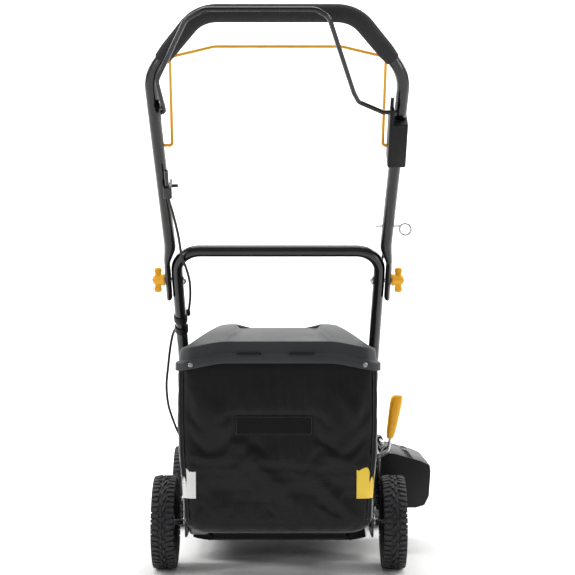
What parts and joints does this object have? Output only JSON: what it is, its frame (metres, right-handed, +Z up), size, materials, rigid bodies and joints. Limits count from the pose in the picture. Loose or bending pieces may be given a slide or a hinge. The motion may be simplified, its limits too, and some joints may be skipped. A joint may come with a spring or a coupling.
{
  "type": "lawn dethatcher",
  "caption": "Walk-behind petrol lawn dethatcher with folding tube handle, sprung bails, rear grass bag, side chute and height lever.",
  "frame": {"origin": "middle of the bounding box's base, on the ground", "axes": "+Y the way the machine travels, +X its right, +Z up; the operator stands at -Y"},
  "size_m": [0.609, 1.4386, 1.0659],
  "materials": {
    "powder_coat_black": "gloss black powder coat on steel tube and sheet",
    "foam_black": "closed-cell foam, matt",
    "moulded_yellow": "moulded, slight sheen",
    "coated_rod_yellow": "plastic-dipped steel rod",
    "moulded_black": "moulded, fine texture",
    "moulded_dark_grey": "moulded, fine texture",
    "woven_mesh_black": "open polyester mesh weave",
    "tyre_rubber": "moulded tread",
    "zinc_plate": "bright zinc plate",
    "cast_aluminium": "as cast",
    "tool_steel": "ground steel",
    "belt_rubber": "matt",
    "cable_sheath": "satin plastic sheath"
  },
  "bodies": {
    "chassis": {"air_filter_cover": "moulded_black", "brake_cable": "cable_sheath", "chute_bracket": "powder_coat_black", "deck_shell": "powder_coat_black", "door_rod": "zinc_plate", "drive_belt": "belt_rubber", "drive_cable": "cable_sheath", "engine_block": "cast_aluminium", "engine_shroud": "moulded_black", "fold_bolt_left": "zinc_plate", "fold_bolt_right": "zinc_plate", "front_plate_left": "powder_coat_black", "front_plate_right": "powder_coat_black", "fuel_tank": "moulded_black", "lower_handle": "powder_coat_black", "muffler": "zinc_plate", "rear_plate_left": "powder_coat_black", "rear_plate_right": "powder_coat_black", "rear_tunnel": "powder_coat_black"},
    "wheel_rear_left": {"rim_rear_left": "moulded_black", "tyre_rear_left": "tyre_rubber"},
    "wheel_rear_right": {"rim_rear_right": "moulded_black", "tyre_rear_right": "tyre_rubber"},
    "wheel_front_left": {"rim_front_left": "moulded_black", "tyre_front_left": "tyre_rubber"},
    "wheel_front_right": {"rim_front_right": "moulded_black", "tyre_front_right": "tyre_rubber"},
    "rear_cranks": {"gearbox": "cast_aluminium", "height_lever": "zinc_plate", "lever_grip": "moulded_yellow", "rear_crank_axle": "zinc_plate"},
    "front_cranks": {"front_crank_axle": "zinc_plate"},
    "link_rod": {"link_rod": "zinc_plate"},
    "rear_door": {"rear_door": "moulded_black"},
    "trail_shield": {"trail_shield": "moulded_black"},
    "gearbox_pulley": {"gearbox_pulley": "cast_aluminium"},
    "drive_shaft": {"drive_shaft": "tool_steel"},
    "fuel_cap": {"fuel_cap": "moulded_black"},
    "oil_cap": {"oil_cap": "moulded_yellow"},
    "tool": {"crankshaft": "tool_steel", "flywheel": "cast_aluminium", "spring_tine_left": "tool_steel", "spring_tine_right": "tool_steel", "tine_bar": "tool_steel", "tool_hub": "tool_steel"},
    "upper_handle": {"bail_bracket_left": "powder_coat_black", "bail_housing_right": "moulded_black", "cable_clamp": "powder_coat_black", "foam_grip": "foam_black", "rope_guide": "zinc_plate", "upper_handle": "powder_coat_black"},
    "knob_left": {"wing_knob_left": "moulded_yellow"},
    "knob_right": {"wing_knob_right": "moulded_yellow"},
    "brake_bail": {"brake_bail": "coated_rod_yellow"},
    "drive_bail": {"drive_bail": "powder_coat_black"},
    "grass_bag": {"bag_fabric": "woven_mesh_black", "bag_frame": "powder_coat_black", "bag_lid": "moulded_dark_grey"},
    "side_chute": {"chute_spring": "zinc_plate", "side_chute": "moulded_black"}
  },
  "joints": [
    {"name": "handle_fold", "type": "hinge", "parent": "chassis", "child": "upper_handle", "pos_m": [-0.0355, -0.3049, 0.61834], "axis": [-1, 0, 0], "range_deg": [0, 125], "deforming": ["drive_cable", "brake_cable"]},
    {"name": "knob_left_turn", "type": "hinge", "parent": "upper_handle", "child": "knob_left", "pos_m": [-0.0355, -0.3049, 0.61834], "axis": [-1, 0, 0], "continuous": true},
    {"name": "knob_right_turn", "type": "hinge", "parent": "upper_handle", "child": "knob_right", "pos_m": [-0.0355, -0.3049, 0.61834], "axis": [1, 0, 0], "continuous": true},
    {"name": "brake_bail_swing", "type": "hinge", "parent": "upper_handle", "child": "brake_bail", "pos_m": [-0.0355, -0.5016, 0.85275], "axis": [1, 0, 0], "range_deg": [0, 65], "stiffness_Nm_per_rad": 1.2, "springref_deg": -34.38},
    {"name": "drive_bail_swing", "type": "hinge", "parent": "upper_handle", "child": "drive_bail", "pos_m": [-0.0355, -0.56898, 0.90195], "axis": [-1, 0, 0], "range_deg": [0, 5], "stiffness_Nm_per_rad": 8, "springref_deg": -8.59},
    {"name": "height_rear", "type": "hinge", "parent": "chassis", "child": "rear_cranks", "pos_m": [-0.0355, 0.10435, 0.112], "axis": [1, 0, 0], "range_deg": [-20, 20], "deforming": ["drive_belt"]},
    {"name": "height_front", "type": "hinge", "parent": "chassis", "child": "front_cranks", "pos_m": [-0.0355, 0.66435, 0.112], "axis": [1, 0, 0], "range_deg": [-20, 20]},
    {"name": "height_link", "type": "slide", "parent": "chassis", "child": "link_rod", "axis": [0, 1, 0], "range_m": [-0.0106, 0.0106]},
    {"name": "wheel_rear_left_spin", "type": "hinge", "parent": "rear_cranks", "child": "wheel_rear_left", "pos_m": [-0.2795, 0.05935, 0.1], "axis": [1, 0, 0], "continuous": true},
    {"name": "wheel_rear_right_spin", "type": "hinge", "parent": "rear_cranks", "child": "wheel_rear_right", "pos_m": [0.2085, 0.05935, 0.1], "axis": [1, 0, 0], "continuous": true},
    {"name": "wheel_front_left_spin", "type": "hinge", "parent": "front_cranks", "child": "wheel_front_left", "pos_m": [-0.2795, 0.61935, 0.1], "axis": [1, 0, 0], "continuous": true},
    {"name": "wheel_front_right_spin", "type": "hinge", "parent": "front_cranks", "child": "wheel_front_right", "pos_m": [0.2085, 0.61935, 0.1], "axis": [1, 0, 0], "continuous": true},
    {"name": "drive_shaft_spin", "type": "hinge", "parent": "rear_cranks", "child": "drive_shaft", "pos_m": [-0.0355, 0.05935, 0.1], "axis": [1, 0, 0], "continuous": true},
    {"name": "gearbox_pulley_spin", "type": "hinge", "parent": "rear_cranks", "child": "gearbox_pulley", "pos_m": [-0.2055, 0.07135, 0.145], "axis": [0, 0, 1], "continuous": true},
    {"name": "tool_spin", "type": "hinge", "parent": "chassis", "child": "tool", "pos_m": [-0.0355, 0.35935, 0], "axis": [0, 0, 1], "continuous": true},
    {"name": "bag_slide", "type": "slide", "parent": "chassis", "child": "grass_bag", "axis": [0, -1, 0], "range_m": [0, 0.6]},
    {"name": "rear_door_swing", "type": "hinge", "parent": "chassis", "child": "rear_door", "pos_m": [-0.0355, 0.04535, 0.338], "axis": [1, 0, 0], "range_deg": [0, 138]},
    {"name": "side_chute_swing", "type": "hinge", "parent": "chassis", "child": "side_chute", "pos_m": [0.2045, 0.19935, 0.24], "axis": [0, -1, 0], "range_deg": [0, 75], "stiffness_Nm_per_rad": 0.9, "springref_deg": -28.65},
    {"name": "trail_shield_swing", "type": "hinge", "parent": "chassis", "child": "trail_shield", "pos_m": [-0.0355, 0.13535, 0.112], "axis": [-1, 0, 0], "range_deg": [0, 25]},
    {"name": "fuel_cap_turn", "type": "hinge", "parent": "chassis", "child": "fuel_cap", "pos_m": [-0.0855, 0.20935, 0.3], "axis": [0, 0, 1], "continuous": true},
    {"name": "oil_cap_turn", "type": "hinge", "parent": "chassis", "child": "oil_cap", "pos_m": [-0.1575, 0.32935, 0.225], "axis": [-1, 0, 0], "continuous": true}
  ],
  "couplings": [
    {"joint": "height_front", "follows": "height_rear", "ratio": 1},
    {"joint": "height_link", "follows": "height_rear", "m_per_rad": -0.03},
    {"joint": "rear_door_swing", "follows": "bag_slide", "rad_per_m": 4.014},
    {"joint": "gearbox_pulley_spin", "follows": "tool_spin", "ratio": 1.3636}
  ]
}
